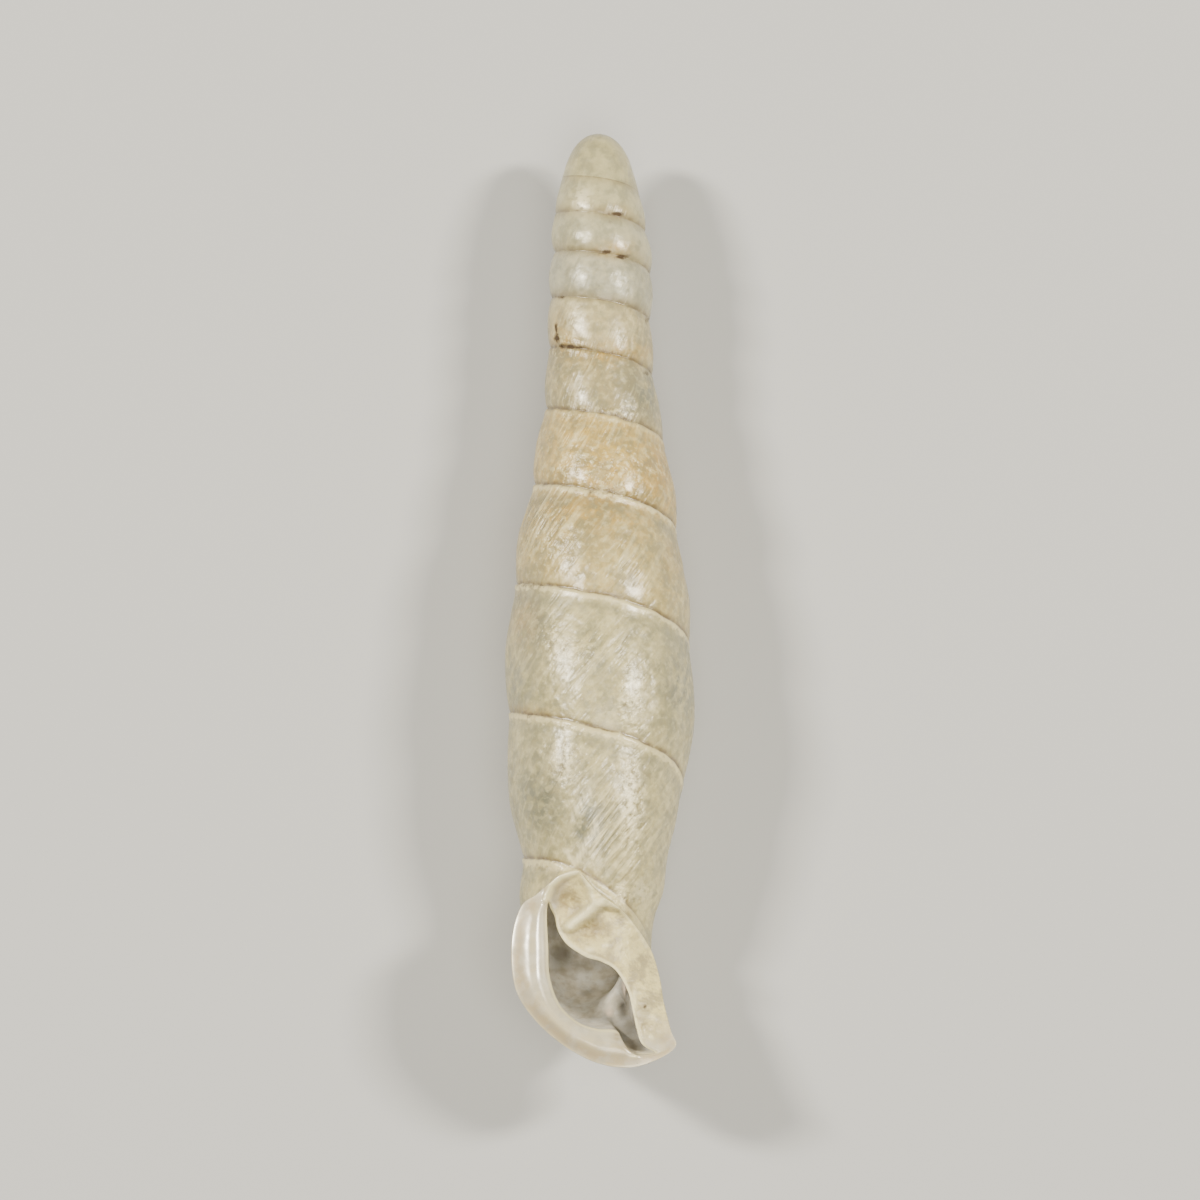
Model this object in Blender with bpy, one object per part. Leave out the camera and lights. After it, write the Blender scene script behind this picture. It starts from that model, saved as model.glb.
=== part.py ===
"""An empty left-coiled door-snail shell, lying on its back with its mouth up.

The spire, the body whorl and the neck are one spiral band wound round the axis.
The mouth is a thick-walled sleeve: its outside flares into the turned-back rim,
and its inside is the wall of the throat. A small flat spot under the widest
whorls keeps the shell from rolling.

Places are given by three measures in millimetres: how far to the right of the
axis, how far below the tip of the apex, and how far in front of the axis. The
viewer who measured them sees the apex lean back a little, so along_axis turns
each distance below the apex into the distance along the axis.
"""

import bmesh
import bpy
import numpy as np

MM = 0.001

# The whole shell
HEIGHT = 31.13
LEAN = np.radians(12.4)       # how far the apex leans back from the viewer
FLAT_SPOT_DEPTH = 2.86        # from the axis down to the surface it lies on

# The suture: turns of the coil, counted on the left side, and distance below the apex
SUTURE = np.array([
    (-2.0, 0.01), (-1.0, 0.45), (0.0, 1.38), (1.0, 2.56), (2.0, 3.81), (3.0, 5.29),
    (4.0, 6.91), (5.0, 8.87), (6.0, 11.28), (7.0, 14.49), (7.5, 16.41), (8.0, 18.59),
    (8.5, 20.88), (9.0, 23.28), (9.2, 24.0), (9.35, 25.1), (9.5, 26.3), (10.0, 27.5),
    (10.5, 28.4), (11.0, 29.0), (12.0, 29.5), (13.0, 29.59),
])
FIRST_TURN, LAST_TURN = -2.0, 12.0

# The outside: distance below the apex, radius in the suture, radius on the whorl
OUTSIDE = np.array([
    (0.0, 1.25, 1.25), (1.4, 1.22, 1.22), (2.6, 1.39, 1.46), (3.3, 1.42, 1.57),
    (4.6, 1.54, 1.66), (6.0, 1.56, 1.66), (7.7, 1.61, 1.74), (8.9, 1.70, 1.87),
    (9.9, 1.92, 2.05), (11.3, 2.11, 2.27), (12.8, 2.39, 2.57), (14.5, 2.65, 2.80),
    (16.4, 2.82, 3.00), (18.6, 2.88, 3.06), (20.8, 2.75, 2.86), (21.9, 2.55, 2.69),
    (23.3, 2.24, 2.37), (24.5, 2.18, 2.31), (25.2, 2.08, 2.12), (26.4, 2.08, 2.10),
    (29.6, 2.05, 2.05),
])
APEX_DOME_HEIGHT = 2.0
BASE_START, BASE_END = 26.8, 29.6
WIDEST_DOWN_THE_WHORL = 1.36  # above 1, the whorl is widest below its middle
SUTURE_SHARPNESS = 0.65       # below 1, the whorls meet in a sharper groove

# The axis bends a little and the neck leans left, and its base comes forward:
# distance below the apex, shift right, shift forward, depth of the section over its width
AXIS = np.array([
    (0.0, -0.06, 0.0, 1.0), (2.8, -0.02, 0.0, 1.0), (4.0, 0.045, 0.0, 1.0),
    (12.0, 0.045, 0.0, 1.0), (15.4, 0.01, 0.0, 1.0), (19.0, 0.0, 0.0, 1.0),
    (21.0, -0.10, 0.0, 1.0), (23.3, -0.20, 0.0, 1.0), (25.2, -0.38, -0.10, 0.93),
    (27.0, -0.45, -0.05, 0.92), (28.6, -0.35, 0.40, 0.90), (29.6, -0.20, 0.90, 0.85),
])

# The mouth's outer rim, from its top down the left side and back up the right
RIM = np.array([
    (-0.71, 23.68, 2.32), (-1.25, 23.81, 2.27), (-1.64, 24.11, 2.15), (-2.03, 24.44, 1.98),
    (-2.54, 24.85, 1.88), (-2.83, 25.95, 1.92), (-2.77, 27.52, 2.00), (-2.28, 28.52, 2.00),
    (-1.29, 29.39, 1.95), (-0.13, 29.90, 1.90), (0.96, 30.00, 1.85), (1.86, 29.71, 1.85),
    (2.43, 29.29, 1.85), (2.28, 28.81, 1.75), (2.06, 27.97, 1.45), (1.90, 27.07, 1.10),
    (1.64, 26.24, 0.85), (1.22, 25.56, 1.38), (0.71, 24.95, 1.80), (0.03, 24.44, 2.15),
    (-0.39, 24.02, 2.28),
])
# The edge of the opening at the same points, with the long S of its right side
OPENING = np.array([
    (-1.45, 25.17, 1.75), (-1.58, 24.89, 1.80), (-1.66, 24.71, 1.85), (-1.70, 24.95, 1.95),
    (-1.70, 25.37, 2.00), (-1.66, 26.11, 2.05), (-1.61, 27.07, 2.05), (-1.29, 27.97, 2.05),
    (-0.71, 28.52, 2.05), (-0.10, 28.74, 2.05), (0.58, 28.84, 1.95), (0.77, 29.48, 1.75),
    (1.77, 29.53, 1.85), (1.32, 29.19, 1.95), (1.09, 28.36, 2.00), (0.90, 27.55, 1.95),
    (0.51, 26.88, 1.90), (0.03, 26.59, 1.85), (-0.48, 26.43, 1.85), (-1.06, 26.04, 1.80),
    (-1.35, 25.59, 1.75),
])
# How far the face of the rim is rolled up between the two, at the same points
ROLL = np.array([
    0.00, 0.02, 0.05, 0.15, 0.25, 0.30, 0.32, 0.32, 0.32, 0.30, 0.28, 0.15,
    0.05, 0.05, 0.10, 0.12, 0.15, 0.15, 0.05, -0.10, -0.12,
])
RIM_EDGE = 0.12               # radius of the rim's rounded edge
LIP_THICKNESS = 0.26
FLARE = 1.3                   # above 1, the rim turns out more sharply
# The upper lamella, a low ridge on the mouth's upper wall: its two ends and its size
LAMELLA_START, LAMELLA_END = np.array([(0.50, 24.80), (-0.98, 25.46)])
LAMELLA_HEIGHT, LAMELLA_HALF_WIDTH = 0.22, 0.15

# The throat: it turns back and to the right round the columella
COLUMELLA_RIGHT, COLUMELLA_FRONT = 1.10, 0.30
THROAT_TURN = 140.0           # degrees round the columella
THROAT_GAP = 0.26             # columella's half thickness
WALL = 0.36                   # shell left outside the throat
SLEEVE = 0.20                 # wall of the mouth sleeve
THROAT_TOP = (24.0, 22.7)     # at the mouth, and at its end
THROAT_BOTTOM = (28.4, 26.2)
MOUTH_SHARES = (0.2, 0.4, 0.6, 0.78, 0.92, 1.0)   # rings from the throat up to the opening

# How finely the solid is divided
STEPS_PER_TURN = 28
ROWS_PER_WHORL = 6
STEPS_PER_RIM_POINT = 2

SHELL_COLOUR = (0.72, 0.66, 0.55, 1.0)
SHELL_ROUGHNESS = 0.4


def through(rows, at):
    """The columns of rows after the first, on a smooth curve through the first column's places."""
    known = rows[:, 0]
    slopes = np.gradient(rows[:, 1:], known, axis=0)
    at = np.clip(at, known[0], known[-1])
    i = np.clip(np.searchsorted(known, at, side="right") - 1, 0, len(known) - 2)
    width = known[i + 1] - known[i]
    t = ((at - known[i]) / width)[..., None]
    width = width[..., None]
    before, after = rows[i, 1:], rows[i + 1, 1:]
    return ((1 + 2 * t) * (1 - t) ** 2 * before + t * (1 - t) ** 2 * width * slopes[i]
            + t * t * (3 - 2 * t) * after - t * t * (1 - t) * width * slopes[i + 1])


def closed_curve(points, steps):
    """A smooth closed curve through the points, with this many steps from each to the next."""
    before, after, beyond = (np.roll(points, -n, axis=0)[:, None] for n in (-1, 1, 2))
    here = points[:, None]
    t = (np.arange(steps) / steps).reshape((1, steps) + (1,) * (points.ndim - 1))
    curve = here + 0.5 * (
        (after - before) * t
        + (2 * before - 5 * here + 4 * after - beyond) * t ** 2
        + (3 * here - before - 3 * after + beyond) * t ** 3)
    return curve.reshape((-1,) + points.shape[1:])


def outside_radius(down, across):
    """Radius at a distance below the apex, where across runs from 0 to 1 between two sutures."""
    groove, crest = np.moveaxis(through(OUTSIDE, down), -1, 0)
    bulge = np.sin(np.pi * across ** WIDEST_DOWN_THE_WHORL).clip(0) ** SUTURE_SHARPNESS
    dome = np.sqrt(1 - (1 - (down / APEX_DOME_HEIGHT).clip(0, 1)) ** 2)
    base = np.sqrt(1 - ((down - BASE_START) / (BASE_END - BASE_START)).clip(0, 1) ** 2)
    return (groove + (crest - groove) * bulge) * dome * base


def along_axis(down, front=0.0):
    """Distance along the axis of a place that looks this far below the apex to the viewer."""
    return (down + front * np.sin(LEAN)) / np.cos(LEAN)


def in_place(right, along, front):
    """The solid's own frame: the apex points along +Y, the mouth looks along +Z."""
    place = np.stack([right, HEIGHT / 2 - along, front + FLAT_SPOT_DEPTH], axis=-1)
    return place * MM


def spiral_band(turn, across):
    """A point of the outside, by the turn of the coil and the share of the whorl's height."""
    suture = through(SUTURE, turn)[..., 0]
    next_suture = through(SUTURE, turn + 1)[..., 0]
    down = suture + across * (next_suture - suture)
    radius = outside_radius(down, across)
    right, front, depth = np.moveaxis(through(AXIS, down), -1, 0)
    angle = 2 * np.pi * turn
    return in_place(right - radius * np.cos(angle), along_axis(down),
                    front + radius * depth * np.sin(angle))


def wound_spindle():
    """The spire, body whorl and neck: each band's lower edge is the next one's upper edge."""
    mesh = bmesh.new()
    columns = int((LAST_TURN - FIRST_TURN) * STEPS_PER_TURN) + 1
    turn = FIRST_TURN + np.arange(columns)[:, None] / STEPS_PER_TURN
    across = np.arange(ROWS_PER_WHORL)[None, :] / ROWS_PER_WHORL
    points = spiral_band(*np.broadcast_arrays(turn, across))
    below = spiral_band(turn[-STEPS_PER_TURN - 1:, 0], 1.0 + 0 * turn[-STEPS_PER_TURN - 1:, 0])
    grid = [[mesh.verts.new(p) for p in column] for column in points]
    last_edge = [grid[-1][0]] + [mesh.verts.new(p) for p in below[1:]]
    for i, column in enumerate(grid):
        if i + STEPS_PER_TURN < columns:
            column.append(grid[i + STEPS_PER_TURN][0])
        else:
            column.append(last_edge[i + STEPS_PER_TURN + 1 - columns])
    for left, right in zip(grid, grid[1:]):
        for k in range(ROWS_PER_WHORL):
            mesh.faces.new((left[k], left[k + 1], right[k + 1], right[k]))
    upper_edge = [column[0] for column in grid[:STEPS_PER_TURN]]
    close_with_point(mesh, upper_edge + grid[0][:0:-1])
    close_with_point(mesh, last_edge + grid[-1][-2:0:-1])
    return mesh


def close_with_point(mesh, loop):
    """A fan of triangles from the loop to its middle."""
    middle = mesh.verts.new(sum((v.co for v in loop), loop[0].co * 0) / len(loop))
    for a, b in zip(loop, loop[1:] + loop[:1]):
        mesh.faces.new((a, b, middle))


def object_of(mesh, name):
    bmesh.ops.recalc_face_normals(mesh, faces=mesh.faces)
    data = bpy.data.meshes.new(name)
    mesh.to_mesh(data)
    mesh.free()
    obj = bpy.data.objects.new(name, data)
    bpy.context.scene.collection.objects.link(obj)
    return obj


def tube(loops, name):
    """A closed body from rings of points, one end to the other, each end drawn to a point."""
    mesh = bmesh.new()
    rings = [[mesh.verts.new(p) for p in loop] for loop in loops]
    for ring, following in zip(rings, rings[1:]):
        for a, b, c, d in zip(ring, ring[1:] + ring[:1], following[1:] + following[:1], following):
            mesh.faces.new((a, b, c, d))
    close_with_point(mesh, rings[0])
    close_with_point(mesh, rings[-1])
    return object_of(mesh, name)


def outward_wall(down, angle):
    """How far the outside lies from the columella, in the direction turned back by angle."""
    radius = float(outside_radius(np.array(down), np.array(0.0)))
    right, front, depth = through(AXIS, np.array(down))
    across, along = COLUMELLA_RIGHT - right, (COLUMELLA_FRONT - front) / depth
    step_across, step_along = -np.cos(angle), -np.sin(angle) / depth
    a = step_across ** 2 + step_along ** 2
    b = across * step_across + along * step_along
    c = across ** 2 + along ** 2 - radius ** 2
    return (-b + np.sqrt(b * b - a * c)) / a


def throat_section(share, extra):
    """An egg-shaped ring of the throat, share of the way round, made larger by extra."""
    angle = np.radians(THROAT_TURN * share)
    top = THROAT_TOP[0] + share * (THROAT_TOP[1] - THROAT_TOP[0])
    bottom = THROAT_BOTTOM[0] + share * (THROAT_BOTTOM[1] - THROAT_BOTTOM[0])
    middle = (top + bottom) / 2
    outer = outward_wall(middle, angle) - WALL
    half_width = (outer - THROAT_GAP) / 2
    half_height = (bottom - top) / 2
    out, down = RIM_DIRECTIONS
    away = THROAT_GAP + half_width + (half_width + extra) * out
    return np.stack([COLUMELLA_RIGHT - away * np.cos(angle),
                     middle + (half_height + extra) * down,
                     COLUMELLA_FRONT - away * np.sin(angle)], axis=-1)


def rim_directions(rim):
    """For each point of the rim, its direction from the mouth's middle: outward and down."""
    middle = (rim.max(axis=0) + rim.min(axis=0)) / 2
    reach = (rim.max(axis=0) - rim.min(axis=0)) / 2
    out, down = ((rim - middle) / reach)[:, :2].T
    length = np.hypot(out, down)
    return -out / length, down / length


RIM_CURVE = closed_curve(RIM, STEPS_PER_RIM_POINT)
OPENING_CURVE = closed_curve(OPENING, STEPS_PER_RIM_POINT)
ROLL_CURVE = closed_curve(ROLL, STEPS_PER_RIM_POINT)
RIM_DIRECTIONS = rim_directions(RIM_CURVE)


def throat_end(extra):
    """Three shrinking rings that round off the throat's far end."""
    ring = throat_section(1.0, extra)
    middle = ring.mean(axis=0)
    forward = throat_section(1.0, 0.0).mean(axis=0) - throat_section(0.97, 0.0).mean(axis=0)
    forward /= np.linalg.norm(forward)
    return [middle + (ring - middle) * shrink + forward * (reach + extra)
            for shrink, reach in ((0.45, 0.32), (0.8, 0.22), (0.96, 0.10))]


def lerp(a, b, share):
    return a + (b - a) * share


def throat_rings(extra):
    """The throat from its far end to the plane beside the columella."""
    return throat_end(extra) + [throat_section(share, extra) for share in np.linspace(1, 0, 8)]


def mouth_inside():
    """From the plane beside the columella up to the edge of the opening."""
    start = throat_section(0.0, 0.0)
    return [np.column_stack([lerp(start[:, :2], OPENING_CURVE[:, :2], share ** 0.7),
                             lerp(start[:, 2], OPENING_CURVE[:, 2], share)])
            for share in MOUTH_SHARES]


def mouth_outside():
    """Round the inside at a distance that grows from the sleeve's wall to the whole rim."""
    start = throat_section(0.0, SLEEVE) - throat_section(0.0, 0.0)
    flare = RIM_CURVE - (0, 0, LIP_THICKNESS) - OPENING_CURVE
    return [ring + lerp(start, flare, share ** FLARE)
            for share, ring in zip(MOUTH_SHARES[:-1], mouth_inside())]


def upper_lamella(points):
    """Height of the ridge above the wall: a rounded bar that fades out at its two ends."""
    along = LAMELLA_END - LAMELLA_START
    length = np.linalg.norm(along)
    offset = points[:, :2] - LAMELLA_START
    share = offset @ along / length ** 2
    aside = (offset[:, 0] * along[1] - offset[:, 1] * along[0]) / length
    ends = np.clip(1.15 - np.abs(2 * share - 1) ** 6, 0, 1)
    return LAMELLA_HEIGHT * ends * np.exp(-(aside / LAMELLA_HALF_WIDTH) ** 2)


def mouth_face():
    """Over the rounded edge of the rim and across its rolled face to the opening."""
    across = OPENING_CURVE - RIM_CURVE
    across[:, 2] = 0
    inward = across / np.linalg.norm(across, axis=1, keepdims=True)
    rounded = [RIM_CURVE + inward * RIM_EDGE * (1 - np.cos(angle))
               + np.array([0, 0, RIM_EDGE]) * np.sin(angle)
               for angle in np.radians((-60, 0, 50))]
    face = []
    for share in (0.12, 0.24, 0.38, 0.52, 0.66, 0.82, 0.95):
        row = lerp(RIM_CURVE + (0, 0, RIM_EDGE), OPENING_CURVE, share)
        row[:, 2] += ROLL_CURVE * np.sin(np.pi * share) + upper_lamella(row)
        face.append(row)
    return rounded + face


def placed(loops):
    """The mouth's points were measured on its face, so each one's own front place counts."""
    return [in_place(right, along_axis(down, front), front)
            for right, down, front in (loop.T for loop in loops)]


def mouth_sleeve():
    """Up the outside of the sleeve, over the rim and back down the throat."""
    outside = throat_rings(SLEEVE) + mouth_outside()
    inside = throat_rings(0.0) + mouth_inside()
    return tube(placed(outside + mouth_face() + inside[::-1]), "mouth_sleeve")


def throat_cutter():
    """A body that ends halfway through the sleeve's wall and stands out of the mouth."""
    between = [lerp(inner, outer, 0.5) for inner, outer in zip(mouth_inside(), mouth_outside())]
    above = lerp(RIM_CURVE, OPENING_CURVE, 0.5) * (1, 1, 0) + (0, 0, FLAT_SPOT_DEPTH)
    return tube(placed(throat_rings(SLEEVE / 2) + between + [above]), "throat_cutter")


def flat_cutter():
    """A block whose top face is the surface that the shell lies on."""
    mesh = bmesh.new()
    bmesh.ops.create_cube(mesh, size=HEIGHT * 2 * MM)
    bmesh.ops.translate(mesh, verts=mesh.verts, vec=(0, 0, -HEIGHT * MM))
    return object_of(mesh, "flat_cutter")


def shell_material():
    material = bpy.data.materials.new("shell")
    material.use_nodes = True
    surface = material.node_tree.nodes["Principled BSDF"]
    surface.inputs["Base Color"].default_value = SHELL_COLOUR
    surface.inputs["Roughness"].default_value = SHELL_ROUGHNESS
    surface.inputs["Metallic"].default_value = 0.0
    return material


def combine(shell, helper, operation):
    helper.hide_render = True
    helper.display_type = "WIRE"
    modifier = shell.modifiers.new(helper.name, "BOOLEAN")
    modifier.operation = operation
    modifier.solver = "EXACT"
    modifier.object = helper


def main():
    for obj in list(bpy.data.objects):
        bpy.data.objects.remove(obj)
    shell = object_of(wound_spindle(), "shell")
    shell.data.shade_smooth()
    shell.data.materials.append(shell_material())
    combine(shell, throat_cutter(), "DIFFERENCE")
    combine(shell, mouth_sleeve(), "UNION")
    combine(shell, flat_cutter(), "DIFFERENCE")


main()
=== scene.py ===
"""An empty, weathered shell of a left-coiled door snail, lying on its back with its mouth up.

Places on it are given by three measures in millimetres: how far to the right of the
axis, how far below the tip of the apex, and how far in front of the axis. The viewer who
measured them sees the apex lean back a little.
"""

import bmesh
import bpy
import numpy as np
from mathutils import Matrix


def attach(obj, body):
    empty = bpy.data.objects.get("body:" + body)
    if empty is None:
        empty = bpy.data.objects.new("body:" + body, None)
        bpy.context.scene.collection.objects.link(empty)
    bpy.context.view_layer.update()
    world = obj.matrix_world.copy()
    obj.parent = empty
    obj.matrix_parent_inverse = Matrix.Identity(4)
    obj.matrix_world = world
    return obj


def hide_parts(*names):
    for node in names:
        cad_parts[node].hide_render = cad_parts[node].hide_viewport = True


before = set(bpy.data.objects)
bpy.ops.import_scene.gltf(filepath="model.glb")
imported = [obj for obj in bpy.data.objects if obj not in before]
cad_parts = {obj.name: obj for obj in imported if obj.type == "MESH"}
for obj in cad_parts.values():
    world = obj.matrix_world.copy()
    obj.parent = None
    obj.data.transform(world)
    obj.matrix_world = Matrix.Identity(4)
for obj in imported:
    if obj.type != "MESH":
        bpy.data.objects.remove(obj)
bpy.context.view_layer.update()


# The spire, the body whorl and the neck: one tube of thin, porcelain-like lime that the
# snail laid down turn by turn at its mouth. Each turn grips the one above it in a fine
# groove, the suture, with a low cord along the groove's lower side.
MM = 0.001
HEIGHT = 31.13
LEAN = np.radians(12.4)  # how far the apex leans back from the viewer
FLAT_SPOT_DEPTH = 2.86  # from the axis down to the surface it lies on

# Turns of the coil, counted on the left side, and the suture's distance below the apex
SUTURE = np.array([
    (-3.0, 0.0), (-2.0, 0.0), (-1.0, 0.45), (0.0, 1.38), (1.0, 2.56), (2.0, 3.81),
    (3.0, 5.29), (4.0, 6.91), (5.0, 8.87), (6.0, 11.28), (7.0, 14.49), (7.5, 16.41),
    (8.0, 18.59), (8.5, 20.88), (9.0, 23.28), (9.2, 24.0), (9.35, 25.1), (9.5, 26.3),
    (10.0, 27.5), (10.5, 28.4), (11.0, 29.1), (12.0, 29.595), (13.0, 29.599),
])
FIRST_TURN, LAST_TURN = -3.0, 12.0
MOUTH_CORNER_TURN, NO_SUTURE_TURN = 9.25, 9.5  # the suture ends at the mouth's top corner
END_HOLE = 0.0004  # the first and last turns end this close to the tip and the base

# Distance below the apex, radius in the suture, radius on the whorl
OUTSIDE = np.array([
    (0.0, 1.25, 1.25), (1.4, 1.22, 1.22), (2.6, 1.39, 1.46), (3.3, 1.42, 1.57),
    (4.6, 1.53, 1.68), (6.0, 1.55, 1.68), (7.7, 1.61, 1.76), (8.9, 1.72, 1.9),
    (9.9, 1.92, 2.07), (11.3, 2.12, 2.32), (12.8, 2.39, 2.58), (14.5, 2.65, 2.8),
    (16.4, 2.82, 3.0), (18.6, 2.88, 3.06), (20.8, 2.75, 2.86), (21.9, 2.55, 2.69),
    (23.3, 2.24, 2.37), (24.5, 2.18, 2.31), (25.2, 2.08, 2.12), (26.4, 2.08, 2.1),
    (29.6, 2.05, 2.05),
])
APEX_DOME_HEIGHT = 2.0
BASE_START, BASE_END = 26.8, 29.6
WIDEST_DOWN_THE_WHORL = (1.0, 1.36)  # above 1, a whorl is widest below its middle
WIDEST_SHIFTS = (6.0, 14.0)  # where on the spire it goes from the first to the second
SUTURE_SHARPNESS = 0.65  # below 1, the whorls meet in a sharper groove

# Distance below the apex, the axis's shift right and forward, section's depth over its width
AXIS = np.array([
    (0.0, -0.06, 0.0, 1.0), (2.8, -0.02, 0.0, 1.0), (4.0, 0.035, 0.0, 1.0),
    (6.2, -0.01, 0.0, 1.0), (8.5, 0.03, 0.0, 1.0), (11.2, 0.06, 0.0, 1.0),
    (12.9, -0.01, 0.0, 1.0), (15.4, -0.01, 0.0, 1.0), (19.0, -0.01, 0.0, 1.0),
    (21.0, -0.1, 0.0, 1.0), (23.3, -0.2, 0.0, 1.0), (25.2, -0.38, -0.1, 0.93),
    (27.0, -0.45, -0.05, 0.92), (28.6, -0.35, 0.4, 0.9), (29.6, -0.2, 0.9, 0.85),
])

STEPS_PER_TURN = 180
ROWS_PER_WHORL = 26
ROWS_DRAWN_TO_SUTURES = 0.7  # share of the rows' spacing that is closer near the sutures

# Weathering and growth marks that stand up or lie deeper, in millimetres
CORD_HEIGHT, CORD_FOOT_WAVER = 0.05, 0.07
CORD_TOP, CORD_FOOT = 0.05, 0.26  # distances below the suture
SUTURE_WAVER = 0.045
WRINKLE_HEIGHT, DENT_DEPTH = 0.026, 0.03
# Turns over which the waver, the cord and the wrinkles grow, and the waver ends at the mouth
WAVER_GROWS, CORD_GROWS, WRINKLES_GROW = (2.0, 6.0), (2.5, 6.0), (3.0, 6.5)
WAVER_ENDS = (9.0, 9.3)
YOUNG_WRINKLES = 0.2  # their share on the first whorls
RELIEF_FROM_RADIUS = (0.2, 1.2)  # no relief on the narrow tip and base
NARROWEST = 0.8  # radius down to which the lean is true
# How many to a turn, and rows of them down a whorl
WAVES_PER_TURN, SMALL_WAVES_PER_TURN, CORD_WAVES_PER_TURN = 31, 83, 27
WRINKLES_PER_TURN, WRINKLE_ROWS = 58, 4
FINER, FINE_ROWS, FINE_SHARE = 2.3, 9, 0.6  # a second set of wrinkles over the first
DENTS_PER_TURN, DENT_ROWS = 13, 3.3
CALM_PER_TURN, CALM_ROWS, CALM_TO_STRONG = 6, 2.2, (-0.5, 0.6)
WRINKLE_LEAN = 0.62  # how far right a wrinkle runs for each step up
LATTICE = (521, 67)  # places of the random heights before they repeat


def lerp(a, b, share):
    return a + (b - a) * share


def eased(value, low, high):
    """0 up to low, 1 from high, with a smooth S between them."""
    t = np.clip((value - low) / (high - low), 0, 1)
    return t * t * (3 - 2 * t)


def through(rows, at):
    """The columns of rows after the first, on a smooth curve through the first column's places."""
    known = rows[:, 0]
    slopes = np.gradient(rows[:, 1:], known, axis=0)
    at = np.clip(at, known[0], known[-1])
    i = np.clip(np.searchsorted(known, at, side="right") - 1, 0, len(known) - 2)
    width = known[i + 1] - known[i]
    t = ((at - known[i]) / width)[..., None]
    width = width[..., None]
    before, after = rows[i, 1:], rows[i + 1, 1:]
    return ((1 + 2 * t) * (1 - t) ** 2 * before + t * (1 - t) ** 2 * width * slopes[i]
            + t * t * (3 - 2 * t) * after - t * t * (1 - t) * width * slopes[i + 1])


def mottle(u, v, seed):
    """Random heights from -1 to 1 at whole u and v, with a smooth S between neighbours."""
    columns, rows = LATTICE
    lattice = np.random.default_rng(seed).uniform(-1, 1, LATTICE)
    column, row = np.floor(u).astype(int), np.floor(v).astype(int)
    along, down = eased(u - column, 0, 1), eased(v - row, 0, 1)
    upper, lower = (lerp(lattice[column % columns, near % rows],
                         lattice[(column + 1) % columns, near % rows], along)
                    for near in (row, row + 1))
    return lerp(upper, lower, down)


def suture_at(turn):
    """The suture's distance below the apex: a smooth curve plus a waver."""
    waver = SUTURE_WAVER * eased(turn, *WAVER_GROWS) * (1 - eased(turn, *WAVER_ENDS))
    still = np.zeros_like(turn)
    suture = (through(SUTURE, turn)[..., 0]
              + waver * (0.6 * mottle(turn * WAVES_PER_TURN, still, 1)
                         + 0.4 * mottle(turn * SMALL_WAVES_PER_TURN, still, 2)))
    return np.clip(suture, END_HOLE * (1 + turn - FIRST_TURN),
                   BASE_END - END_HOLE * (2 + LAST_TURN - turn))


def outside_radius(down, across):
    """Radius at a distance below the apex, where across runs from 0 to 1 between two sutures:
    groove plus a sine bump, drawn in by a quarter circle at the apex and at the base."""
    groove, crest = np.moveaxis(through(OUTSIDE, down), -1, 0)
    widest = lerp(*WIDEST_DOWN_THE_WHORL, eased(down, *WIDEST_SHIFTS))
    bulge = np.sin(np.pi * across ** widest).clip(0) ** SUTURE_SHARPNESS
    dome = np.sqrt(1 - (1 - (down / APEX_DOME_HEIGHT).clip(0, 1)) ** 2)
    base = np.sqrt(1 - ((down - BASE_START) / (BASE_END - BASE_START)).clip(0, 1) ** 2)
    return (groove + (crest - groove) * bulge) * dome * base


def growth_relief(turn, across, below_suture, radius):
    """Height over the smooth whorl: a cord under the suture, plus wrinkles along leaning
    growth lines, plus broad dents, all zero in the suture and fainter on the young whorls."""
    lean = turn + WRINKLE_LEAN * below_suture / (2 * np.pi * radius.clip(NARROWEST))
    wrinkles = (mottle(lean * WRINKLES_PER_TURN, across * WRINKLE_ROWS, 3)
                + FINE_SHARE * mottle(lean * WRINKLES_PER_TURN * FINER, across * FINE_ROWS, 4))
    strong = eased(mottle(turn * CALM_PER_TURN, across * CALM_ROWS, 5), *CALM_TO_STRONG)
    dents = mottle(turn * DENTS_PER_TURN, across * DENT_ROWS, 6)
    age = YOUNG_WRINKLES + (1 - YOUNG_WRINKLES) * eased(turn, *WRINKLES_GROW)
    foot = CORD_FOOT + CORD_FOOT_WAVER * mottle(turn * CORD_WAVES_PER_TURN, np.zeros_like(turn), 8)
    cord = (CORD_HEIGHT * eased(below_suture, 0.0, CORD_TOP) * eased(turn, *CORD_GROWS)
            * (1 - eased(below_suture, CORD_TOP * 2, foot))
            * (1 - eased(turn, MOUTH_CORNER_TURN, NO_SUTURE_TURN)))
    away_from_suture = np.sin(np.pi * across).clip(0) ** 0.5
    rough = age * (WRINKLE_HEIGHT * wrinkles * strong + DENT_DEPTH * dents)
    return (cord + rough * away_from_suture) * eased(radius, *RELIEF_FROM_RADIUS)


def along_axis(down, front=0.0):
    """Distance along the axis of a place that looks this far below the apex to the viewer:
    the front of the shell looks raised by the sine of the lean, and all is foreshortened."""
    return (down + front * np.sin(LEAN)) / np.cos(LEAN)


def in_place(right, along, front):
    """In millimetres: the apex points along +Y, the mouth looks along +Z."""
    return np.stack([right, HEIGHT / 2 - along, front + FLAT_SPOT_DEPTH], axis=-1)


def spiral_band(turn, across):
    """A point of the outside: a circle of the outside radius plus its relief, round the bent
    axis, by the turn of the coil and the share of the whorl's height."""
    suture, next_suture = suture_at(turn), suture_at(turn + 1)
    below_suture = across * (next_suture - suture)
    down = suture + below_suture
    radius = outside_radius(down, across)
    radius = radius + growth_relief(turn, across, below_suture, radius)
    right, front, depth = np.moveaxis(through(AXIS, down), -1, 0)
    angle = 2 * np.pi * turn
    return in_place(right - radius * np.cos(angle), along_axis(down),
                    front + radius * depth * np.sin(angle))


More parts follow.
